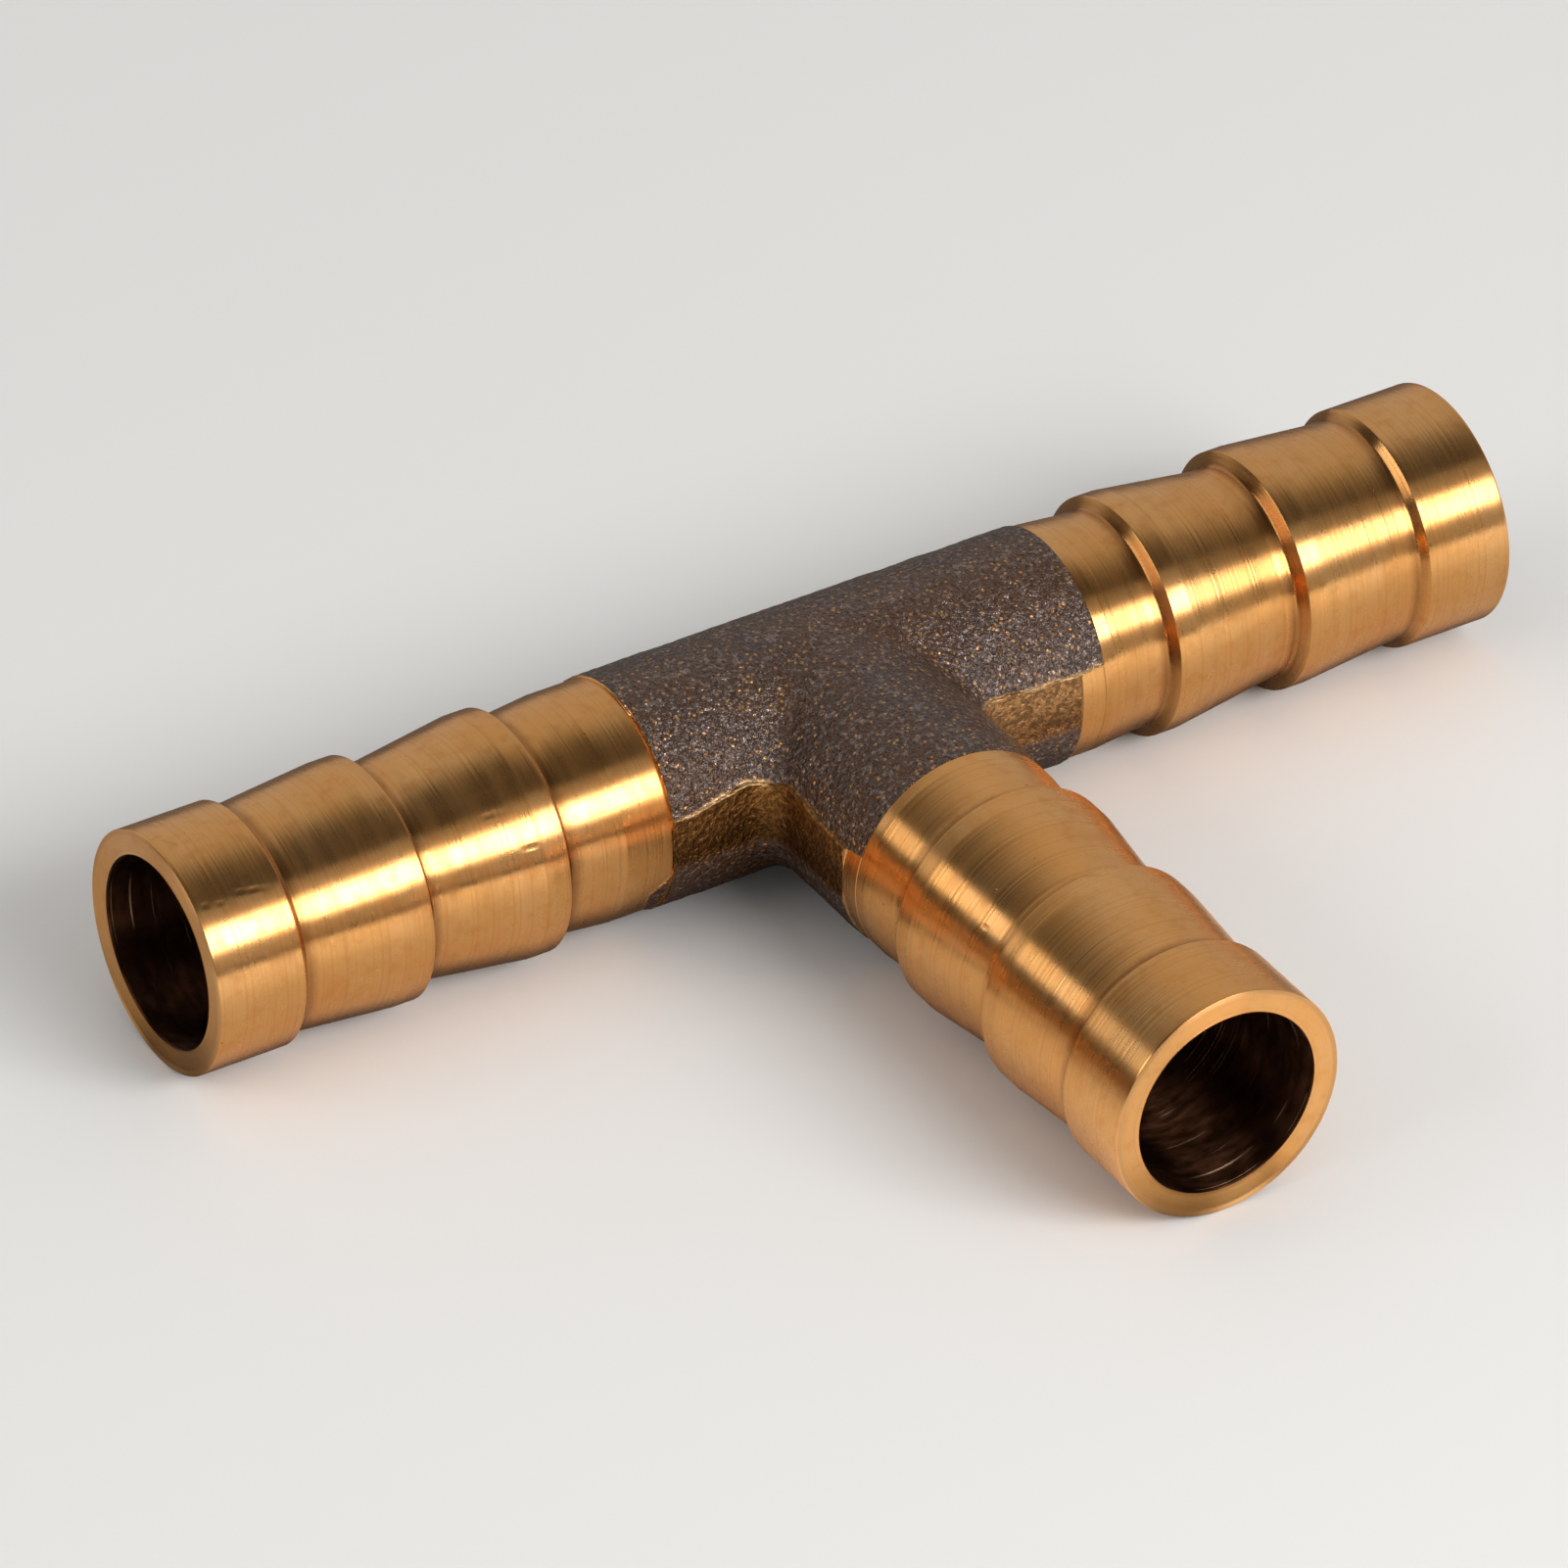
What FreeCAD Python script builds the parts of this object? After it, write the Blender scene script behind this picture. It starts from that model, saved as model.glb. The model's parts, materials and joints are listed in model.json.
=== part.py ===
"""Brass barbed tee connector: a forged centre body and three turned hose tails.

Millimetres. The origin is where the three bore axes cross. The run lies along X, the branch
points along -Y and +Z is up. The tee rests on the crests of its barbs.
"""
import FreeCAD, Part
import os

import Sketcher

# name: size in mm
SIZES = {
    "arm_length": 30.0,        # from the crossing of the axes to each mouth
    "bore_radius": 4.0,
    "crest_radius": 5.05,      # the three barbs and the plain mouth
    "collar_radius": 4.75,
    "crest_land": 0.9,         # flat top of a barb
    "shoulder_length": 0.28,   # steep back of a barb
    "neck_length": 0.6,        # plain stretch behind the shoulder, before the next ramp
    "barb_one": 3.8,           # back edge of each crest, measured from the mouth
    "barb_two": 9.6,
    "barb_three": 15.8,
    "neck_one_radius": 4.70,
    "neck_two_radius": 4.48,
    "neck_three_radius": 4.57,
    "ramp_end": 18.6,          # where the last ramp reaches the collar, from the mouth
    "mouth_break": 0.12,       # broken edges of the mouth
    "left_face": 9.4,          # body end faces, from the crossing of the axes
    "right_face": 10.8,
    "branch_face": 10.8,
    "run_radius": 4.85,        # forged centre body
    "branch_radius": 4.73,
    "crotch_radius": 1.2,      # blend between the run and the branch
    "spigot_radius": 4.30,
    "spigot_length": 3.0,
}

LEFT, RIGHT, BRANCH = 180.0, 0.0, -90.0    # turn of each arm about Z, in degrees


def make_sheet(doc):
    """Driving dimensions, one row each: name, value."""
    sheet = doc.addObject("Spreadsheet::Sheet", "Sizes")
    for row, (name, value) in enumerate(SIZES.items(), start=1):
        sheet.set(f"A{row}", name)
        sheet.set(f"B{row}", str(value))
        sheet.setAlias(f"B{row}", name)
    doc.recompute()
    return sheet


def origin_plane(body, role):
    return next(plane for plane in body.Origin.OriginFeatures if plane.Role == role)


def tail_outline(face):
    """Corners of half a tail's section as (distance from the axes' crossing, radius).

    Each is a pair of expressions. face names the cell with the body's end face. The first barb
    has no ramp: it runs plain to the mouth.
    """
    arm = "Sizes.arm_length"
    seat = f"Sizes.{face}"
    spigot_end = f"{seat} - Sizes.spigot_length"
    corners = [
        (spigot_end, "Sizes.bore_radius"),
        (spigot_end, "Sizes.spigot_radius"),
        (seat, "Sizes.spigot_radius"),
        (seat, "Sizes.collar_radius"),
        (f"{arm} - Sizes.ramp_end", "Sizes.collar_radius"),
    ]
    for barb in ("three", "two", "one"):
        back = f"{arm} - Sizes.barb_{barb}"
        neck = f"Sizes.neck_{barb}_radius"
        shoulder = f"{back} - Sizes.shoulder_length"
        corners += [
            (f"{shoulder} - Sizes.neck_length", neck),
            (shoulder, neck),
            (back, "Sizes.crest_radius"),
        ]
        if barb != "one":
            corners.append((f"{back} + Sizes.crest_land", "Sizes.crest_radius"))
    corners += [(arm, "Sizes.crest_radius"), (arm, "Sizes.bore_radius")]
    return corners


def draw_outline(sketch, corners):
    """A closed outline whose every corner is dimensioned from the sheet."""
    points = [FreeCAD.Vector(sketch.evalExpression(along), sketch.evalExpression(out), 0)
              for along, out in corners]
    count = len(points)
    for i in range(count):
        sketch.addGeometry(Part.LineSegment(points[i], points[(i + 1) % count]), False)
    for i in range(count):
        sketch.addConstraint(Sketcher.Constraint("Coincident", i, 2, (i + 1) % count, 1))
    for i, (along, out) in enumerate(corners):
        for kind, value, expression in (("DistanceX", points[i].x, along),
                                        ("DistanceY", points[i].y, out)):
            place = sketch.addConstraint(Sketcher.Constraint(kind, -1, 1, i, 1, value))
            sketch.renameConstraint(place, f"{kind}_{i}")
            sketch.setExpression(f"Constraints.{kind}_{i}", expression)


def mouth_edges(shape, sheet):
    """Names of the two circles at the mouth."""
    names = []
    for number, edge in enumerate(shape.Edges, start=1):
        circle = edge.Curve
        if isinstance(circle, Part.Circle) and abs(circle.Center.x - sheet.arm_length) < 1e-6:
            names.append(f"Edge{number}")
    return names


def make_tail(doc, sheet, name, face, turn):
    """A turned tube: spigot, collar, three barbs and a plain mouth."""
    body = doc.addObject("PartDesign::Body", name)
    body.Label = name
    sketch = body.newObject("Sketcher::SketchObject", f"{name}_section")
    sketch.AttachmentSupport = [(origin_plane(body, "XY_Plane"), "")]
    sketch.MapMode = "FlatFace"
    draw_outline(sketch, tail_outline(face))
    turned = body.newObject("PartDesign::Revolution", f"{name}_turned")
    turned.Profile = sketch
    turned.ReferenceAxis = (sketch, ["H_Axis"])
    turned.Angle = 360
    doc.recompute()
    broken = body.newObject("PartDesign::Chamfer", f"{name}_mouth")
    broken.Base = (turned, mouth_edges(turned.Shape, sheet))
    broken.setExpression("Size", "Sizes.mouth_break")
    body.Tip = broken
    body.Placement = FreeCAD.Placement(FreeCAD.Vector(), FreeCAD.Rotation(FreeCAD.Vector(0, 0, 1), turn))
    return body


def make_rod(doc, name, radius, start, end, turn):
    """A cylinder along an arm. radius, start and end are expressions."""
    rod = doc.addObject("Part::Cylinder", name)
    rod.setExpression("Radius", radius)
    rod.setExpression("Height", f"({end}) - ({start})")
    lying = FreeCAD.Rotation(FreeCAD.Vector(0, 1, 0), 90)
    turned = FreeCAD.Rotation(FreeCAD.Vector(0, 0, 1), turn)
    rod.Placement = FreeCAD.Placement(FreeCAD.Vector(), turned * lying)
    outward = turned.multVec(FreeCAD.Vector(1, 0, 0))
    for axis, part in zip("xyz", outward):
        rod.setExpression(f"Placement.Base.{axis}", f"{round(part)} * ({start})")
    return rod


def crotch_edges(shape):
    """Numbers of the curves where the run meets the branch."""
    numbers = []
    for number, edge in enumerate(shape.Edges, start=1):
        faces = shape.ancestorsOfType(edge, Part.Face)
        axes = [face.Surface.Axis for face in faces if isinstance(face.Surface, Part.Cylinder)]
        if len(axes) == 2 and abs(axes[0].dot(axes[1])) < 0.5:
            numbers.append(number)
    return numbers


def make_blank(doc, sheet):
    """Run and branch of the forging as one solid, blended where they meet."""
    run = make_rod(doc, "run", "Sizes.run_radius", "-Sizes.left_face", "Sizes.right_face", RIGHT)
    branch = make_rod(doc, "branch", "Sizes.branch_radius", "0", "Sizes.branch_face", BRANCH)
    tee = doc.addObject("Part::Fuse", "crossing")
    tee.Base = run
    tee.Tool = branch
    doc.recompute()
    blank = doc.addObject("Part::Fillet", "blank")
    blank.Base = tee
    size = sheet.crotch_radius
    blank.Edges = [(number, size, size) for number in crotch_edges(tee.Shape)]
    return blank


def make_tee_body(doc, sheet):
    """The forging, bored along each arm and counterbored for each tail's spigot."""
    cutters = []
    for side, turn in (("left", LEFT), ("right", RIGHT), ("branch", BRANCH)):
        face = f"Sizes.{side}_face"
        cutters.append(make_rod(doc, f"{side}_bore", "Sizes.bore_radius", "0", face, turn))
        cutters.append(make_rod(doc, f"{side}_socket", "Sizes.spigot_radius",
                                f"{face} - Sizes.spigot_length", face, turn))
    passages = doc.addObject("Part::MultiFuse", "passages")
    passages.Shapes = cutters
    body = doc.addObject("Part::Cut", "tee_body")
    body.Label = "tee_body"
    body.Base = make_blank(doc, sheet)
    body.Tool = passages
    return body


def check_document(doc):
    """No object may be left failed, whatever recompute said."""
    for item in doc.Objects:
        if "Invalid" in item.State or "Error" in item.State:
            raise RuntimeError(f"{item.Label} failed: {item.State}")


def write_node(node):
    shape = node.Shape
    if shape.isNull() or not shape.isValid() or len(shape.Solids) != 1:
        raise RuntimeError(f"{node.Label} is not one valid solid")
    shape.exportStep(os.path.join("parts", f"{node.Label}.step"))
    box = shape.BoundBox
    print(f"{node.Label}: volume {shape.Volume:.2f} mm3, "
          f"x {box.XMin:.2f} {box.XMax:.2f}, y {box.YMin:.2f} {box.YMax:.2f}, "
          f"z {box.ZMin:.2f} {box.ZMax:.2f}")


def main():
    doc = FreeCAD.newDocument("barbed_tee")
    sheet = make_sheet(doc)
    nodes = [
        make_tee_body(doc, sheet),
        make_tail(doc, sheet, "hose_tail_left", "left_face", LEFT),
        make_tail(doc, sheet, "hose_tail_right", "right_face", RIGHT),
        make_tail(doc, sheet, "hose_tail_branch", "branch_face", BRANCH),
    ]
    doc.recompute()
    check_document(doc)
    os.makedirs("parts", exist_ok=True)
    for node in nodes:
        write_node(node)


main()
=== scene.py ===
"""Looks of the brass barbed tee: a dark forged body between three bright turned hose tails.

Lengths in the mesh code are millimetres in the row frame and become metres when a mesh is made.
The run lies along X, the branch points along -Y and the three bore axes cross at the origin.
"""
import json
import math

import bmesh
import bpy
import numpy as np
from mathutils import Matrix, Vector


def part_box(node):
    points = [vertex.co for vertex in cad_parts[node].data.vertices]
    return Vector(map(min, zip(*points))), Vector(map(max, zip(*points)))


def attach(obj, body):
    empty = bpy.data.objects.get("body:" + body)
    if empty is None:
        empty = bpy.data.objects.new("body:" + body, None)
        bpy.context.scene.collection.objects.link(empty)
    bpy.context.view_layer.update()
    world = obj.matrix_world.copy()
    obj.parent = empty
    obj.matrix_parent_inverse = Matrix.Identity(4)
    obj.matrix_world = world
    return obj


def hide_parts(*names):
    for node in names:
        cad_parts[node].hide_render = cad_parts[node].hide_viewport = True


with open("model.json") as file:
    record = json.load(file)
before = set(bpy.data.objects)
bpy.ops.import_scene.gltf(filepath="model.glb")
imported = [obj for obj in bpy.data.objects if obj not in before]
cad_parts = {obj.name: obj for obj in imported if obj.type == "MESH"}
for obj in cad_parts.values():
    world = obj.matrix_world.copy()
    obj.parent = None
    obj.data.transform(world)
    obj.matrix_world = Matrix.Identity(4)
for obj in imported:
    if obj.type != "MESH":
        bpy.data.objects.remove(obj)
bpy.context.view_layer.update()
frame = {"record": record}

MM = 0.001


def in_mm(metres):
    """A length of the CAD model in millimetres, to the hundredth that it is drawn to."""
    return round(metres / MM, 2)


mounts = {mount["name"]: mount["dims"] for mount in frame["record"]["mounts"]}
body_low, body_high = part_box("tee_body")
tail_low, tail_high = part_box("hose_tail_right")
ARM = in_mm(tail_high.x)        # axes' crossing to each mouth
BORE = mounts["run_bore"]["r_mm"]
CREST = mounts["right_tail"]["r_mm"]
SKIN = in_mm(body_high.z)       # forged body
FACES = {"left": in_mm(-body_low.x), "right": in_mm(body_high.x),
         "branch": in_mm(-body_low.y)}      # body end faces from the crossing
SOCKET_DEPTH = in_mm(body_high.x - tail_low.x)

# Sizes that the frame doesn't hold. They repeat the CAD model's outline.
COLLAR = 4.75
SOCKET = 4.30
BACKS = (3.8, 9.6, 15.8)        # the three crests' back edges, from the mouth
CREST_LAND = 0.9                # parallel stretch of a crest before its back
NECK_RADII = (4.70, 4.48, 4.57)  # behind each back
RAMP_END = 18.6                 # where the last ramp meets the collar
EDGE, CREASE, SOFT = 0.05, 0.12, 1.5    # roundings: crest edges, foot of a back, both ends of a ramp
HIDDEN_EDGE = 0.02
COLLAR_EDGE = 0.2
SHOULDER = 0.28                 # axial length of a barb's steep back
NECK = 0.60                     # parallel neck before the next ramp
CROTCH = 1.2                    # blend where the branch leaves the run


# ---------------------------------------------------------------- noise

def lattice(shape_seed):
    """A fixed cube of random numbers that value noise reads."""
    return np.random.default_rng(shape_seed).random((32, 32, 32))


def value_noise(points, size, seed):
    """Smooth noise from -1 to 1 at an array of points, with features about size long."""
    table = lattice(seed)
    scaled = points / size
    cell = np.floor(scaled).astype(int)
    part = scaled - cell
    part = part * part * (3 - 2 * part)
    total = np.zeros(len(points))
    for corner in range(8):
        step = np.array([corner & 1, corner >> 1 & 1, corner >> 2 & 1])
        index = (cell + step) % 32
        weight = np.prod(np.where(step, part, 1 - part), axis=1)
        total += weight * table[index[:, 0], index[:, 1], index[:, 2]]
    return 2 * total - 1


def smooth_step(low, high, value):
    """0 below low and 1 above high, smooth between."""
    part = np.clip((value - low) / (high - low), 0, 1)
    return part * part * (3 - 2 * part)


# ---------------------------------------------------------------- meshes

def make_mesh(name, points, quads, values, material):
    """A smooth-shaded mesh from points in mm, quads and a value per point for each name."""
    mesh = bpy.data.meshes.new(name)
    mesh.vertices.add(len(points))
    mesh.vertices.foreach_set("co", (points * MM).astype(np.float32).ravel())
    mesh.loops.add(quads.size)
    mesh.loops.foreach_set("vertex_index", quads.astype(np.int32).ravel())
    mesh.polygons.add(len(quads))
    mesh.polygons.foreach_set("loop_start", np.arange(0, quads.size, 4, dtype=np.int32))
    mesh.update(calc_edges=True)
    mesh.validate()
    for key, data in values.items():
        layer = mesh.attributes.new(key, "FLOAT", "POINT")
        layer.data.foreach_set("value", data.astype(np.float32))
    mesh.materials.append(material)
    mesh.shade_smooth()
    piece = bpy.data.objects.new(name, mesh)
    bpy.context.scene.collection.objects.link(piece)
    return piece


def ring_quads(rings, around, closed):
    """Quads between rings of points that each go once round. closed joins the last to the first."""
    first = np.arange(rings if closed else rings - 1)
    second = (first + 1) % rings
    here = np.arange(around)
    there = (here + 1) % around
    corners = [first[:, None] * around + here, first[:, None] * around + there,
               second[:, None] * around + there, second[:, None] * around + here]
    return np.stack(corners, -1).reshape(-1, 4)


# ---------------------------------------------------------------- turned tails

def rounded_path(corners, step):
    """A closed path through corners (x, y, rounding), with arcs at the corners."""
    count = len(corners)
    spots = np.array([(x, y) for x, y, _ in corners], float)
    path = []
    for i in range(count):
        here, rounding = spots[i], corners[i][2]
        back, ahead = spots[i - 1] - here, spots[(i + 1) % count] - here
        reach_back, reach_ahead = np.linalg.norm(back), np.linalg.norm(ahead)
        back, ahead = back / reach_back, ahead / reach_ahead
        half = math.acos(np.clip(back @ ahead, -1, 1)) / 2
        cut = min(rounding / math.tan(half), 0.45 * reach_back, 0.45 * reach_ahead)
        if cut < 1e-4:
            path.append(here)
            continue
        radius = cut * math.tan(half)
        middle = (back + ahead) / np.linalg.norm(back + ahead)
        centre = here + middle * (radius / math.sin(half))
        start = here + back * cut - centre
        sweep = math.pi - 2 * half
        turn = math.copysign(1, start[0] * ahead[1] - start[1] * ahead[0])
        pieces = max(3, int(radius * sweep / step) + 1)
        for k in range(pieces + 1):
            angle = turn * sweep * k / pieces
            cosine, sine = math.cos(angle), math.sin(angle)
            path.append(centre + [start[0] * cosine - start[1] * sine,
                                  start[0] * sine + start[1] * cosine])
    dense = []
    for i, here in enumerate(path):
        there = path[(i + 1) % len(path)]
        parts = max(1, int(math.ceil(np.linalg.norm(there - here) / step)))
        dense += [here + (there - here) * k / parts for k in range(parts)]
    return np.array(dense)


def tail_section(face):
    """Corners of half a tail's section: distance from the mouth, radius, rounding."""
    seat = ARM - face
    corners = [(0, BORE, 0.04), (0, CREST, 0.06), (BACKS[0], CREST, EDGE)]
    for neck, back, next_back in zip(NECK_RADII, BACKS, BACKS[1:]):
        corners += [(back + SHOULDER, neck, CREASE), (back + SHOULDER + NECK, neck, SOFT),
                    (next_back - CREST_LAND, CREST, SOFT), (next_back, CREST, EDGE)]
    last = BACKS[-1] + SHOULDER
    corners += [(last, NECK_RADII[-1], CREASE), (last + NECK, NECK_RADII[-1], SOFT),
                (RAMP_END, COLLAR, COLLAR_EDGE), (seat, COLLAR, HIDDEN_EDGE), (seat, SOCKET, HIDDEN_EDGE),
                (seat + SOCKET_DEPTH, SOCKET, HIDDEN_EDGE), (seat + SOCKET_DEPTH, BORE, HIDDEN_EDGE)]
    return corners


def dents(station, angle, marks):
    """Depth of handling marks: (distance from mouth, degrees, length, width, slant, depth)."""
    depth = np.zeros(np.broadcast(station, angle).shape)
    for at, degrees, long, wide, slant, deep in marks:
        across = (np.mod(angle - math.radians(degrees) + math.pi, 2 * math.pi) - math.pi) * CREST
        along = station - at
        turn = math.radians(slant)
        u = along * math.cos(turn) + across * math.sin(turn)
        v = across * math.cos(turn) - along * math.sin(turn)
        depth += deep * np.exp(-(u / long) ** 4 - (v / wide) ** 2)
    return depth


# Handling marks on each tail. Most lie at or near real ones, and five were placed freely.
LEFT_MARKS = [
    (0.7, 1, 0.35, 0.06, 60, 0.030), (1.3, 4, 0.10, 0.08, 0, 0.018), (0.5, -6, 0.12, 0.07, 20, 0.024),
    (2.5, 38, 0.65, 0.045, 10, 0.018), (2.7, 33, 0.30, 0.04, 0, 0.012), (0.5, 38, 0.10, 0.09, 0, 0.018),
    (1.1, 39, 0.12, 0.06, 0, 0.018), (13.3, 42, 0.40, 0.04, 5, 0.018), (14.4, 62, 0.35, 0.04, 5, 0.015),
    (9.2, 20, 0.10, 0.25, 30, 0.010)]
RIGHT_MARKS = [
    (15.3, -4, 0.12, 0.10, 0, 0.030), (16.8, 85, 0.07, 0.07, 0, 0.024), (14.1, 107, 0.40, 0.05, 35, 0.012),
    (14.3, 112, 0.05, 0.30, 10, 0.012)]
BRANCH_MARKS = [
    (11.5, 54, 0.09, 0.035, 40, 0.025), (9.45, 2, 0.45, 0.07, 60, 0.024), (9.6, -12, 0.12, 0.20, 20, 0.024),
    (3.65, -1, 0.10, 0.10, 0, 0.024), (0.3, -40, 0.10, 0.07, 0, 0.024)]

AROUND = 320
TAIL_STEP = 0.13


def to_arm(side, along, out, angle):
    """Points at a distance along an arm, a radius and an angle from the top of the arm."""
    sideways, up = -out * np.sin(angle), out * np.cos(angle)
    if side == "branch":
        return np.stack([sideways, -along, up], -1)
    return np.stack([-along if side == "left" else along, sideways, up], -1)


def make_tail(side, marks, skin_patch, material):
    """One hose tail, its bore and spigot, with the values that its material reads."""
    face = FACES[side]
    path = rounded_path(tail_section(face), TAIL_STEP)
    lengths = np.linalg.norm(np.roll(path, -1, axis=0) - path, axis=1)
    travel = np.concatenate([[0], np.cumsum(lengths)[:-1]])
    angle = np.arange(AROUND) * 2 * math.pi / AROUND
    station, radius = path[:, :1], path[:, 1:]
    outside = smooth_step(BORE + 0.2, BORE + 0.45, radius) * (station < ARM - face)
    sunk = dents(station, angle, marks) * outside
    along = np.broadcast_to(ARM - station, sunk.shape)
    out = radius - sunk
    turned = np.broadcast_to(angle, sunk.shape)
    points = to_arm(side, along, out, turned).reshape(-1, 3)
    inner = np.broadcast_to(radius < BORE + 0.02, sunk.shape)
    # painted shade: a dark reddish band painted into the crease at the foot of each barb's back
    crease_shade = sum(np.exp(-((station - back - SHOULDER - 0.12) / 0.24) ** 2) for back in BACKS) * outside
    values = {
        "tool_path": np.broadcast_to(travel[:, None], sunk.shape).ravel(),
        "bored": inner.ravel().astype(float),
        "end_face": np.broadcast_to(station < 0.012, sunk.shape).ravel().astype(float),
        "mark": np.clip(sunk / 0.02, 0, 1).ravel(),
        "crease_shade": np.broadcast_to(crease_shade, sunk.shape).ravel(),
        "skin": skin_patch(points, np.broadcast_to(station, sunk.shape).ravel()),
    }
    quads = ring_quads(len(path), AROUND, closed=True)
    piece = make_mesh(f"turned_tail_{side}", points, quads, values, material)
    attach(piece, "tee")
    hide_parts(f"hose_tail_{side}")
    return piece


def no_patch(points, station):
    """A tail that was turned all over."""
    return np.zeros(len(points))


def left_patch(points, station):
    """Forged skin that the tool missed under the left collar, with a ragged edge."""
    ragged = 0.20 * value_noise(points, 0.6, 11) + 0.10 * value_noise(points, 0.22, 12)
    height = points[:, 2] + 0.5 * ragged
    reach = 0.75 * smooth_step(-1.0, -2.2, height)
    below = smooth_step(-0.95, -1.05, height)
    near = smooth_step(-0.05, 0.05, station - (ARM - FACES["left"] - reach) + ragged)
    return below * near


# ---------------------------------------------------------------- forged body

LAND_DEPTH = 4.70               # distance of the sheared flash land from the arm's axis
LAND_BOTTOM = -0.85             # height of the land's lower edge
RUN_REACH, BRANCH_REACH = 1.1, 1.0      # how far the tails' tools ran on over the body
LIP = 0.05                      # burr along the top edge of the land
SKIN_TAPER = 0.10               # the skin meets the branch collar flush
RUN_SEED, BRANCH_SEED = 3.1, 7.7


def land_top(along, side_seed):
    """Height of the top edge of the flash land, which wanders along each flank."""
    spots = np.stack([along, np.full_like(along, side_seed), np.zeros_like(along)], -1)
    wander = 0.16 * value_noise(spots, 1.7, 21) + 0.05 * value_noise(spots, 0.45, 22)
    hump = 0.38 * np.exp(-((np.abs(along) - 6.2) / 1.5) ** 2)
    return 1.48 + hump + wander


def turned_zone(along, height, face, reach):
    """1 where the tail's tool ran on over the body: further below the land's top edge."""
    edge = face - reach * smooth_step(1.62, 1.45, height) + 0.6 * smooth_step(1.9, 3.5, height)
    return smooth_step(-0.05, 0.05, along - edge)


def flank(along, lateral, height, seed):
    """Distance to one arm's surface: forged halves, sheared land and the burr above it."""
    taper = SKIN_TAPER * smooth_step(8.8, 10.8, np.abs(along)) * (seed == BRANCH_SEED)
    round_part = np.hypot(lateral, height) - SKIN + taper
    top = land_top(along, seed)
    band = smooth_step(LAND_BOTTOM - 0.35, LAND_BOTTOM + 0.35, height)
    band = band * (1 - smooth_step(top - 0.05, top + 0.02, height))
    bead = (0.4 * LIP if seed == BRANCH_SEED else LIP) * np.exp(-((height - top - 0.02) / 0.06) ** 2)
    bead = bead * smooth_step(3.5, 4.2, np.abs(lateral))
    return round_part * (1 - band) + (np.abs(lateral) - LAND_DEPTH) * band - bead


def tee_distance(points):
    """Distance-like field of the forged tee: below 0 inside, 0 on its surface."""
    x, y, z = points[:, 0], points[:, 1], points[:, 2]
    run_out, branch_out = np.hypot(y, z), np.hypot(x, z)
    run = flank(x, y, z, RUN_SEED)
    branch = flank(y, x, z, BRANCH_SEED) + 2.5 * np.maximum(y, 0)
    alike = np.clip(z * z / np.maximum(run_out * branch_out, 1e-6), 0, 1)
    blend = CROTCH * (1 - np.sqrt((1 + alike) / 2)) / (1 - math.sqrt(0.5)) + 1e-6
    corner = np.hypot(np.maximum(blend - run, 0), np.maximum(blend - branch, 0))
    field = np.maximum(blend, np.minimum(run, branch)) - corner
    reach = ((x, FACES["right"], RUN_REACH, run_out), (-y, FACES["branch"], BRANCH_REACH, branch_out))
    for along, face, extra, out in reach:
        turned = turned_zone(along, z, face, extra)
        field = field * (1 - turned) + (out - COLLAR) * turned
    return field


def meet(directions, field, low=3.0, high=7.5):
    """Distances along rays from starting points at which the field is 0."""
    starts, headings = directions
    near, far = np.full(len(starts), low), np.full(len(starts), high)
    for _ in range(30):
        middle = (near + far) / 2
        inside = field(starts + headings * middle[:, None]) < 0
        near, far = np.where(inside, middle, near), np.where(inside, far, middle)
    return (near + far) / 2


def bore_distance(points):
    """Distance to the crossing bores. The branch's bore ends where it enters the run's."""
    x, y, z = points.T
    run = np.hypot(y, z)
    return np.where(y < 0, np.minimum(run, np.hypot(x, z)), run) - BORE


BODY_AROUND = 352               # even, so that the two halves of every ring mirror each other
BODY_STEP = 0.10
CHAMFER = 0.085                 # bare rim of the left end face


def body_angles():
    """Angles round an arm from its top, closer together where the flash land's edge runs."""
    fine = np.linspace(0, math.pi, 2001)
    density = 1 + 2.5 * np.exp(-((np.degrees(fine) - 68) / 8) ** 4)
    share = np.concatenate([[0], np.cumsum((density[1:] + density[:-1]) / 2)])
    half = np.interp(np.linspace(0, share[-1], BODY_AROUND // 2 + 1), share, fine)
    return np.concatenate([half[:-1], 2 * math.pi - half[:0:-1]])


def arm_grid(side, field, start, rows):
    """Rings of points from along = start to the planes where the three arms' surfaces meet."""
    angle = body_angles()
    sine, count = np.sin(angle), BODY_AROUND
    sideways = np.abs(sine) if side == "branch" else np.where(sine > 1e-9, sine, 0.0)
    mitre = to_arm(side, sideways, np.ones(count), angle)
    size = meet((np.zeros((count, 3)), mitre), field)
    last = mitre * size[:, None]
    stop = sideways * size
    rings = []
    for row in range(rows):
        along = start + (stop - start) * row / rows
        axis = to_arm(side, along, np.zeros(count), angle)
        out = to_arm(side, np.zeros(count), np.ones(count), angle)
        rings.append(axis + out * meet((axis, out), field)[:, None])
    rings.append(last)
    return rings


def body_rings(side):
    """One arm of the body: outside from the crossing to the face, the socket, then the bore."""
    face = FACES[side]
    angle = body_angles()
    outer = arm_grid(side, tee_distance, face, int(face / BODY_STEP))
    inner = arm_grid(side, bore_distance, face - SOCKET_DEPTH, 24)
    rim = to_arm(side, np.full(BODY_AROUND, face), np.zeros(BODY_AROUND), angle)
    chamfer = CHAMFER if side == "left" else 0.0
    socket = [outer[0] + (rim - outer[0]) * max(chamfer, 0.03) / SKIN]
    outer[0] = outer[0] - to_arm(side, np.full(BODY_AROUND, chamfer), np.zeros(BODY_AROUND), angle)
    for along, out in ((face, SOCKET), (face - SOCKET_DEPTH, SOCKET)):
        turns = np.full(BODY_AROUND, out)
        socket.append(to_arm(side, np.full(BODY_AROUND, along), turns, angle))
    return outer[::-1] + socket + inner


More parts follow.
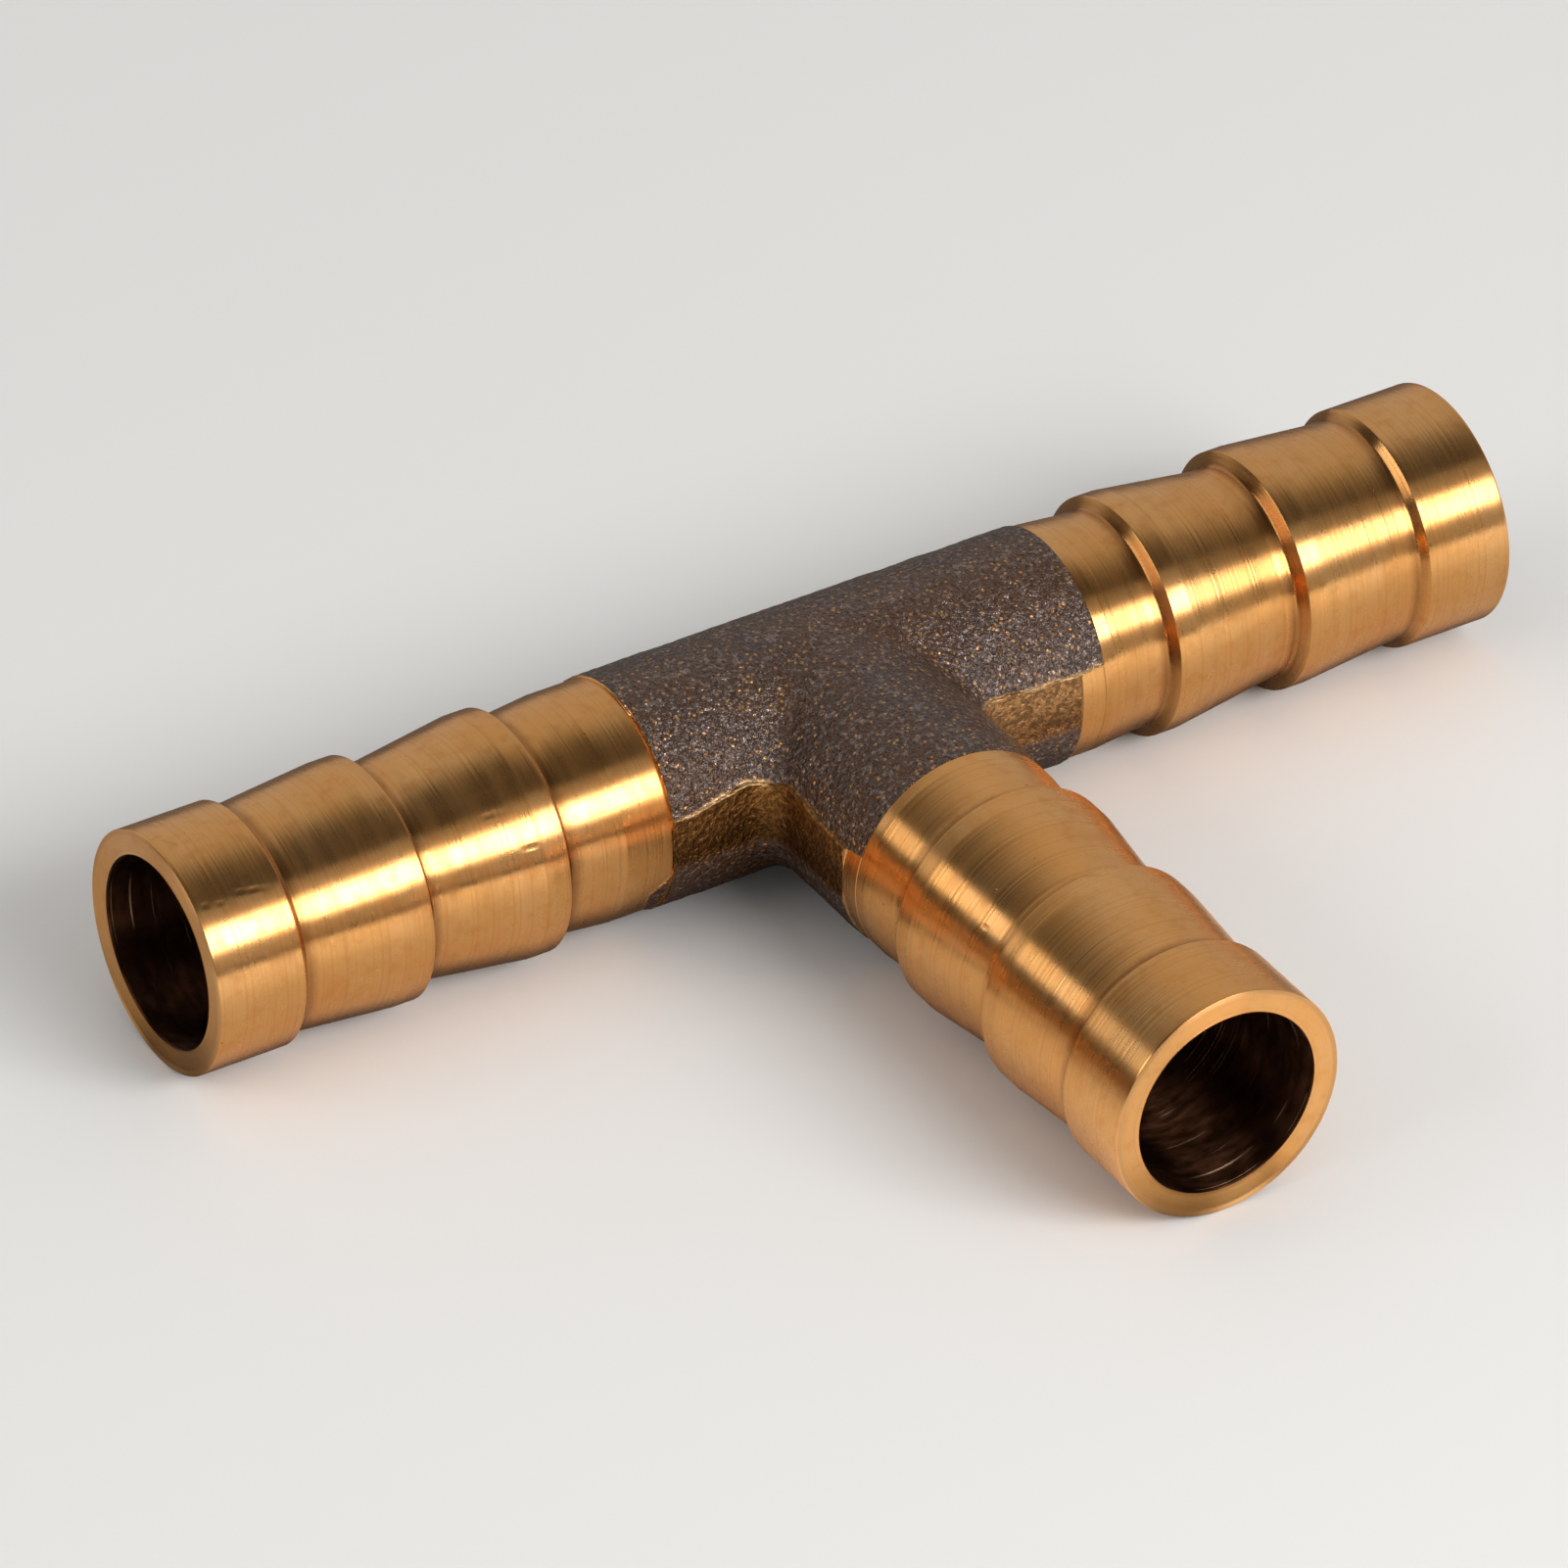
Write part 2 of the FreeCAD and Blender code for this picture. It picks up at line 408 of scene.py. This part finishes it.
def weld(points, quads):
    """Joins points at the same place."""
    keys = np.round(points / 1e-5).astype(np.int64)
    _, first, place = np.unique(keys, axis=0, return_index=True, return_inverse=True)
    return points[first], place.reshape(-1)[quads]


def tidy_faces(piece):
    """Drops collapsed faces and turns every face outwards."""
    work = bmesh.new()
    work.from_mesh(piece.data)
    bmesh.ops.dissolve_degenerate(work, dist=1e-8, edges=work.edges)
    bmesh.ops.recalc_face_normals(work, faces=work.faces)
    work.to_mesh(piece.data)
    work.free()


def field_normals(points, field, step=0.02):
    """Outward directions of a distance field at points."""
    slopes = []
    for axis in range(3):
        shift = np.zeros(3)
        shift[axis] = step
        slopes.append(field(points + shift) - field(points - shift))
    slopes = np.stack(slopes, -1)
    return slopes / np.maximum(np.linalg.norm(slopes, axis=1, keepdims=True), 1e-9)


def make_body(material):
    """The forged body as one closed mesh, with the values that its material reads."""
    points, quads, base = [], [], 0
    for side in FACES:
        rings = body_rings(side)
        points.append(np.concatenate(rings))
        quads.append(ring_quads(len(rings), BODY_AROUND, closed=False) + base)
        base += len(points[-1])
    points, quads = weld(np.concatenate(points), np.concatenate(quads))
    x, y, z = points.T
    out = np.where(np.abs(tee_distance(points)) < 0.01, 1.0, 0.0)

    turned = np.zeros(len(points))
    for along, face, extra in ((x, FACES["right"], RUN_REACH), (-y, FACES["branch"], BRANCH_REACH)):
        turned = np.maximum(turned, turned_zone(along, z, face, extra))
    on_branch = (-y > np.abs(x)) & (-y > 0)
    along = np.where(on_branch, y, x)
    lateral = np.abs(np.where(on_branch, x, y))
    top = np.where(on_branch, land_top(y, BRANCH_SEED), land_top(x, RUN_SEED))
    land = smooth_step(LAND_BOTTOM - 0.30, LAND_BOTTOM + 0.20, z) * (1 - smooth_step(top, top + 0.06, z))
    burr_and_glint = np.exp(-((z - top + 0.01) / 0.075) ** 2) * smooth_step(4.2, 4.5, lateral)
    # Painted highlight: the bare-metal burr along the land's top edge is painted bright, strongest on the
    # left flank, weaker on the right and faint on the branch
    flank_glint_strength = np.where(on_branch, 0.06, np.where(x > 0, 0.45, 1.0))
    burr_and_glint = burr_and_glint * flank_glint_strength * smooth_step(-0.75, 0.1, value_noise(points, 0.5, 41))
    land = land * smooth_step(3.9, 4.5, lateral)

    ends = (np.abs(x - FACES["right"]) < 0.002) | (np.abs(y + FACES["branch"]) < 0.002)
    faced = np.where(np.abs(x + FACES["left"]) < CHAMFER + 0.005, 1.0, ends * (1 - out))
    rough = out * (1 - turned)
    grain = 0.014 * value_noise(points, 0.26, 31) + 0.022 * value_noise(points, 1.3, 33)
    grain = grain * rough * (1 - 0.45 * land)
    points = points + field_normals(points, tee_distance) * grain[:, None]

    values = {
        "turned": np.maximum(turned * out, faced),
        "land": land * out,
        "burr_and_glint": burr_and_glint * out,
        "bored": (1 - out) * (1 - faced),
        "tool_path": np.where(on_branch, -y, np.abs(x)),
    }
    piece = make_mesh("forged_body", points, quads, values, material)
    tidy_faces(piece)
    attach(piece, "tee")
    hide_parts("tee_body")
    return piece


# ---------------------------------------------------------------- material helpers

def add(tree, kind, inputs=(), **settings):
    """A shader node with its settings and inputs. An input that is a socket is linked."""
    node = tree.nodes.new("ShaderNode" + kind)
    for key, value in settings.items():
        setattr(node, key, value)
    for key, value in dict(inputs).items():
        if isinstance(value, bpy.types.NodeSocket):
            tree.links.new(value, node.inputs[key])
        else:
            node.inputs[key].default_value = value
    return node


def calc(tree, operation, *values):
    """One Math node."""
    return add(tree, "Math", enumerate(values), operation=operation).outputs[0]


def blend(tree, factor, first, second, kind="MIX"):
    """Colours mixed by a factor."""
    sockets = {0: factor, 6: first, 7: second}
    return add(tree, "Mix", sockets, data_type="RGBA", blend_type=kind).outputs[2]


def between(tree, factor, first, second):
    """Numbers mixed by a factor."""
    return add(tree, "Mix", {0: factor, 2: first, 3: second}).outputs[0]


def step_up(tree, value, low, high):
    """0 below low and 1 above high, smooth between."""
    sockets = {"Value": value, "From Min": low, "From Max": high}
    return add(tree, "MapRange", sockets, interpolation_type="SMOOTHSTEP").outputs[0]


def noise(tree, where, scale, detail=2.0, rough=0.5):
    sockets = {"Vector": where, "Scale": scale, "Detail": detail, "Roughness": rough}
    return add(tree, "TexNoise", sockets).outputs[0]


def line_noise(tree, along, scale, detail=2.0, rough=0.5):
    """Noise along one length only, which makes lines across it."""
    sockets = {"W": along, "Scale": scale, "Detail": detail, "Roughness": rough}
    return add(tree, "TexNoise", sockets, noise_dimensions="1D").outputs[0]


def value_of(tree, name):
    """A value that the mesh carries at each point."""
    return add(tree, "Attribute", attribute_name=name).outputs["Fac"]


def new_material(name):
    """A material with a Principled shader, and its position in mm as a socket."""
    material = bpy.data.materials.new(name)
    material.use_nodes = True
    tree = material.node_tree
    tree.nodes.clear()
    shader = add(tree, "BsdfPrincipled", {"Metallic": 1.0})
    output = add(tree, "OutputMaterial")
    tree.links.new(shader.outputs[0], output.inputs[0])
    place = add(tree, "TexCoord").outputs["Object"]
    where = add(tree, "VectorMath", {0: place, "Scale": 1000.0}, operation="SCALE").outputs[0]
    return material, tree, shader, where


def finish_shader(tree, shader, colour, roughness, height):
    """Links colour and roughness, and a height in mm as bump."""
    bump = add(tree, "Bump", {"Height": height, "Distance": MM, "Strength": 1.0})
    tree.links.new(colour, shader.inputs["Base Color"])
    tree.links.new(roughness, shader.inputs["Roughness"])
    tree.links.new(bump.outputs[0], shader.inputs["Normal"])


BRASS = (0.93, 0.45, 0.140, 1)
STAIN = (0.30, 0.13, 0.045, 1)
# Painted shade colour for the crease at the foot of each barb's back
CREASE_SHADE_TINT = (0.34, 0.13, 0.04, 1)
MARK_STAIN = (0.45, 0.20, 0.07, 1)
CUT_FACE = (0.86, 0.50, 0.22, 1)
SCRATCH = (0.95, 0.62, 0.36, 1)
BRASS_PALE = (0.95, 0.50, 0.185, 1)
BRASS_RED = (0.84, 0.35, 0.095, 1)
TARNISH = (0.13, 0.050, 0.024, 1)
TARNISH_DARK = (0.055, 0.021, 0.010, 1)


def bore_look(tree, where, round_axis):
    """Drilled bore: dark oxide with bright scratches from the drill that run round it."""
    blotch = noise(tree, where, 0.5, 4.0, 0.6)
    colour = blend(tree, step_up(tree, blotch, 0.35, 0.65), TARNISH_DARK, TARNISH)
    stretch = [3.5, 3.5, 3.5]
    stretch[round_axis] = 9.0
    rings = add(tree, "VectorMath", {0: where, 1: stretch}, operation="MULTIPLY").outputs[0]
    parts = add(tree, "SeparateXYZ", {0: where}).outputs
    fine = line_noise(tree, parts[round_axis], 5.0, 3.0, 0.7)
    broken = noise(tree, where, 0.35, 2.0)
    scratch = calc(tree, "MULTIPLY", step_up(tree, fine, 0.63, 0.69), step_up(tree, broken, 0.48, 0.60))
    colour = blend(tree, scratch, colour, SCRATCH)
    roughness = between(tree, step_up(tree, noise(tree, rings, 0.3, 3.0), 0.3, 0.7), 0.34, 0.52)
    height = calc(tree, "MULTIPLY", fine, 0.004)
    return colour, roughness, height


def turned_look(tree, where, path):
    """Turned brass: fine tool lines that follow the profile, faint stains, specks and pits."""
    drift = calc(tree, "MULTIPLY", noise(tree, where, 0.25, 1.0), 0.10)
    track = calc(tree, "ADD", path, drift)
    fine = line_noise(tree, track, 6.0, 2.0, 0.6)
    broad = line_noise(tree, track, 1.1, 2.0, 0.5)
    stain = noise(tree, where, 0.30, 4.0, 0.6)
    mottle = noise(tree, where, 1.6, 3.0, 0.6)
    speck = step_up(tree, noise(tree, where, 3.6, 1.0), 0.79, 0.83)
    colour = blend(tree, step_up(tree, stain, 0.35, 0.70), BRASS, BRASS_PALE)
    red = calc(tree, "MULTIPLY", step_up(tree, mottle, 0.48, 0.70), 0.45)
    colour = blend(tree, red, colour, BRASS_RED)
    lines = calc(tree, "MULTIPLY", step_up(tree, fine, 0.50, 0.70), 0.45)
    colour = blend(tree, lines, colour, BRASS_RED)
    colour = blend(tree, calc(tree, "MULTIPLY", speck, 0.6), colour, STAIN)
    low = between(tree, step_up(tree, broad, 0.3, 0.7), 0.25, 0.30)
    roughness = calc(tree, "ADD", low, calc(tree, "MULTIPLY", step_up(tree, mottle, 0.4, 0.8), 0.05))
    height = calc(tree, "MULTIPLY", fine, 0.010)
    height = calc(tree, "ADD", height, calc(tree, "MULTIPLY", broad, 0.006))
    height = calc(tree, "SUBTRACT", height, calc(tree, "MULTIPLY", speck, 0.004))
    return colour, roughness, height


def skin_look(tree, where):
    """Forged skin: dark oxide over a coarse grain, with bare metal on its high spots."""
    grain = noise(tree, where, 5.2, 2.0, 0.55)
    coarse = noise(tree, where, 1.3, 3.0, 0.6)
    patch = noise(tree, where, 0.30, 3.0, 0.6)
    brown, plum = (0.074, 0.026, 0.005, 1), (0.060, 0.025, 0.011, 1)
    colour = blend(tree, step_up(tree, patch, 0.40, 0.60), brown, plum)
    deep = step_up(tree, grain, 0.50, 0.36)
    colour = blend(tree, calc(tree, "MULTIPLY", deep, 0.6), colour, (0.018, 0.010, 0.007, 1))
    spots = add(tree, "TexVoronoi", {"Vector": where, "Scale": 3.4, "Randomness": 1.0}).outputs
    dot = step_up(tree, spots["Distance"], 0.30, 0.16)
    few = step_up(tree, noise(tree, where, 1.7, 2.0), 0.41, 0.51)
    dot = calc(tree, "MULTIPLY", dot, few)
    colour = blend(tree, calc(tree, "MULTIPLY", dot, 0.9), colour, (0.70, 0.36, 0.13, 1))
    pale = step_up(tree, noise(tree, where, 4.2, 2.0, 0.6), 0.55, 0.65)
    colour = blend(tree, calc(tree, "MULTIPLY", pale, 0.8), colour, (0.33, 0.25, 0.22, 1))
    bare = calc(tree, "MULTIPLY", calc(tree, "MAXIMUM", dot, pale), 0.8)
    metal = between(tree, bare, 0.10, 1.0)
    roughness = between(tree, step_up(tree, coarse, 0.3, 0.7), 0.20, 0.29)
    height = calc(tree, "MULTIPLY", grain, 0.16)
    height = calc(tree, "ADD", height, calc(tree, "MULTIPLY", coarse, 0.05))
    return colour, roughness, height, metal


def turned_brass(name, axis):
    """Material of one tail, whose bore lies along axis X or Y."""
    material, tree, shader, where = new_material(name)
    index = "XYZ".index(axis)
    colour, roughness, height = turned_look(tree, where, value_of(tree, "tool_path"))
    bore_colour, bore_rough, bore_height = bore_look(tree, where, index)
    bored = value_of(tree, "bored")
    colour = blend(tree, bored, colour, bore_colour)
    roughness = between(tree, bored, roughness, bore_rough)
    height = between(tree, bored, height, bore_height)
    # painted shade with a reddish painted reflection in the crease at the foot of each barb
    crease_shade = calc(tree, "MULTIPLY", value_of(tree, "crease_shade"), 0.6)
    colour = blend(tree, crease_shade, colour, CREASE_SHADE_TINT)
    mark = value_of(tree, "mark")
    colour = blend(tree, calc(tree, "MULTIPLY", mark, 0.35), colour, MARK_STAIN)
    skin_colour, skin_rough, skin_height, skin_metal = skin_look(tree, where)
    skin = value_of(tree, "skin")
    colour = blend(tree, skin, colour, skin_colour)
    roughness = between(tree, skin, roughness, skin_rough)
    height = between(tree, skin, height, skin_height)
    tree.links.new(between(tree, skin, 1.0, skin_metal), shader.inputs["Metallic"])
    face = value_of(tree, "end_face")
    colour = blend(tree, calc(tree, "MULTIPLY", face, 0.5), colour, CUT_FACE)
    roughness = between(tree, face, roughness, 0.50)
    shader.inputs["Anisotropic"].default_value = 0.9
    shader.inputs["Anisotropic Rotation"].default_value = 0.25
    tangent = add(tree, "Tangent", direction_type="RADIAL", axis=axis)
    tree.links.new(tangent.outputs[0], shader.inputs["Tangent"])
    finish_shader(tree, shader, colour, roughness, height)
    return material


def forged_brass():
    """Material of the body: skin, sheared land with painted light and shade, lip with a painted highlight,
    turned ends and bore.
    """
    material, tree, shader, where = new_material("forged_brass_body")
    colour, roughness, height, metal = skin_look(tree, where)
    shader.inputs["Specular IOR Level"].default_value = 0.9
    land = value_of(tree, "land")
    burr_and_glint = value_of(tree, "burr_and_glint")
    turned = value_of(tree, "turned")
    bored = value_of(tree, "bored")

    mottle = noise(tree, where, 4.8, 3.0, 0.65)
    parts = add(tree, "SeparateXYZ", {0: where}).outputs
    # Painted light: the land is painted lighter towards its top edge and on the right flank as a painted
    # reflection of the pale floor, and darker towards its lower edge as painted shade; the mottle mixes in
    # a darker tone at random
    rise = step_up(tree, parts[2], -1.0, 1.4)
    left = blend(tree, rise, (0.16, 0.068, 0.018, 1), (0.55, 0.26, 0.075, 1))
    right = blend(tree, rise, (0.34, 0.15, 0.050, 1), (0.75, 0.40, 0.16, 1))
    land_painted_light = blend(tree, step_up(tree, parts[0], 2.0, 6.0), left, right)
    dark = blend(tree, 0.62, land_painted_light, (0.05, 0.022, 0.008, 1))
    sheared = blend(tree, step_up(tree, mottle, 0.42, 0.62), dark, land_painted_light)
    colour = blend(tree, land, colour, sheared)
    roughness = between(tree, land, roughness, 0.32)
    land_height = calc(tree, "MULTIPLY", mottle, 0.12)
    height = between(tree, land, height, land_height)

    # bare metal of the burr with a painted highlight along the land's top edge
    colour = blend(tree, burr_and_glint, colour, (0.93, 0.60, 0.30, 1))
    roughness = between(tree, burr_and_glint, roughness, 0.30)

    turned_colour, turned_rough, turned_height = turned_look(tree, where, value_of(tree, "tool_path"))
    colour = blend(tree, turned, colour, turned_colour)
    roughness = between(tree, turned, roughness, turned_rough)
    height = between(tree, turned, height, turned_height)

    bore_colour, bore_rough, bore_height = bore_look(tree, where, 0)
    colour = blend(tree, bored, colour, bore_colour)
    roughness = between(tree, bored, roughness, bore_rough)
    height = between(tree, bored, height, bore_height)

    bright = calc(tree, "MAXIMUM", calc(tree, "MAXIMUM", land, burr_and_glint), calc(tree, "MAXIMUM", turned, bored))
    tree.links.new(between(tree, bright, metal, 1.0), shader.inputs["Metallic"])
    finish_shader(tree, shader, colour, roughness, height)
    return material


# ---------------------------------------------------------------- floor, lights and camera

def direction(azimuth, elevation):
    a, e = math.radians(azimuth), math.radians(elevation)
    return Vector((math.sin(a) * math.cos(e), -math.cos(a) * math.cos(e), math.sin(e)))


def make_floor():
    """Plain pale floor under the tee."""
    size, level = 2.0, -CREST * MM
    mesh = bpy.data.meshes.new("pale_floor")
    corners = [(-size, -size, level), (size, -size, level), (size, size, level), (-size, size, level)]
    mesh.from_pydata(corners, [], [(0, 1, 2, 3)])
    floor = bpy.data.objects.new("pale_floor", mesh)
    bpy.context.scene.collection.objects.link(floor)
    material, tree, shader, where = new_material("pale_floor_paint")
    shader.inputs["Metallic"].default_value = 0.0
    # Seen in metal and in bounced light the floor is painted as a greyer table: a painted contact shadow
    # close to the tee and under the branch, a painted shadow behind it, and painted light growing brighter
    # ahead of it. The camera sees it evenly pale.
    parts = add(tree, "SeparateXYZ", {0: where}).outputs
    ahead = calc(tree, "MAXIMUM", calc(tree, "MULTIPLY", parts[1], -1.0), 0.0)
    aside = calc(tree, "ABSOLUTE", parts[0])
    corner = calc(tree, "DIVIDE", calc(tree, "MULTIPLY", ahead, aside), calc(tree, "ADD", ahead, aside))
    # painted shadow: dark close to the tee, under the branch and behind it
    clear = calc(tree, "MAXIMUM", step_up(tree, corner, 2.3, 3.8), step_up(tree, ahead, 31.0, 35.0))
    clear = calc(tree, "MAXIMUM", clear, step_up(tree, parts[0], -30.5, -33.0))
    # painted light: brighter further ahead of the tee
    painted_light_ahead = blend(tree, step_up(tree, ahead, 8.0, 32.0), (0.60, 0.59, 0.57, 1), (0.95, 0.94, 0.92, 1))
    table = blend(tree, clear, (0.15, 0.145, 0.14, 1), painted_light_ahead)
    rays = add(tree, "LightPath").outputs
    bounced = calc(tree, "MAXIMUM", rays["Is Glossy Ray"], rays["Is Diffuse Ray"])
    colour = blend(tree, bounced, (0.90, 0.89, 0.87, 1), table)
    tree.links.new(colour, shader.inputs["Base Color"])
    shader.inputs["Roughness"].default_value = 0.75
    shader.inputs["Specular IOR Level"].default_value = 0.2
    mesh.materials.append(material)


def make_light(name, azimuth, elevation, distance, size, radiance, seen_in_metal=True,
               straight_down=False):
    """A rectangular softbox that faces the object, as bright as radiance where 1 is white."""
    lamp = bpy.data.lights.new(name, "AREA")
    lamp.shape = "RECTANGLE"
    lamp.size, lamp.size_y = size
    lamp.energy = radiance * math.pi * size[0] * size[1]
    light = bpy.data.objects.new(name, lamp)
    bpy.context.scene.collection.objects.link(light)
    toward = direction(azimuth, elevation)
    light.location = toward * distance
    if not straight_down:
        light.rotation_euler = toward.to_track_quat("Z", "Y").to_euler()
    light.visible_glossy = seen_in_metal
    light.visible_camera = False


def make_world():
    """Dim room with a pale backdrop behind the object. Matt surfaces get an even light from it."""
    world = bpy.data.worlds.new("studio")
    bpy.context.scene.world = world
    world.use_nodes = True
    tree = world.node_tree
    tree.nodes.clear()
    toward = add(tree, "TexCoord").outputs["Generated"]
    across = add(tree, "VectorMath", {0: toward, 1: direction(148, 0)}, operation="DOT_PRODUCT")
    backdrop = step_up(tree, across.outputs["Value"], 0.24, 0.50)
    in_metal = add(tree, "LightPath").outputs["Is Glossy Ray"]
    strength = between(tree, in_metal, 0.40, between(tree, backdrop, 0.04, 0.47))
    background = add(tree, "Background", {"Color": (1.0, 0.995, 0.985, 1), "Strength": strength})
    output = add(tree, "OutputWorld")
    tree.links.new(background.outputs[0], output.inputs[0])


def make_camera():
    """The photograph's view, with its distance and small shifts in mm."""
    azimuth, elevation, roll = -31.935, 35.031, math.radians(0.2)
    distance, shift_right, shift_up = 560.1, -1.141, -2.456
    back = direction(azimuth, elevation)
    level = Vector((math.cos(math.radians(azimuth)), math.sin(math.radians(azimuth)), 0))
    rise = back.cross(level)
    right = level * math.cos(roll) + rise * math.sin(roll)
    upward = rise * math.cos(roll) - level * math.sin(roll)
    lens = bpy.data.cameras.new("photo_camera")
    lens.sensor_width = 36
    lens.lens = 324.0
    camera = bpy.data.objects.new("photo_camera", lens)
    bpy.context.scene.collection.objects.link(camera)
    place = (back * distance + right * shift_right + upward * shift_up) * MM
    turn = Matrix((right, upward, back)).transposed().to_4x4()
    camera.matrix_world = Matrix.Translation(place) @ turn
    bpy.context.scene.camera = camera


# ---------------------------------------------------------------- the scene

make_camera()
make_world()
make_floor()
make_light("key_softbox", 18, 31.5, 0.60, (0.37, 0.20), 8.5)
make_light("key_glow", 18, 31.5, 0.62, (0.60, 0.62), 0.36)
make_light("back_softbox", -96, 31, 0.70, (0.52, 0.22), 2.5)
make_light("table_light", 26, 32, 0.42, (0.25, 0.25), 2.0, seen_in_metal=False, straight_down=True)

run_brass = turned_brass("turned_brass_run", "X")
branch_brass = turned_brass("turned_brass_branch", "Y")
make_tail("left", LEFT_MARKS, left_patch, run_brass)
make_tail("right", RIGHT_MARKS, no_patch, run_brass)
make_tail("branch", BRANCH_MARKS, no_patch, branch_brass)
make_body(forged_brass())

bpy.context.scene.view_settings.view_transform = "Standard"
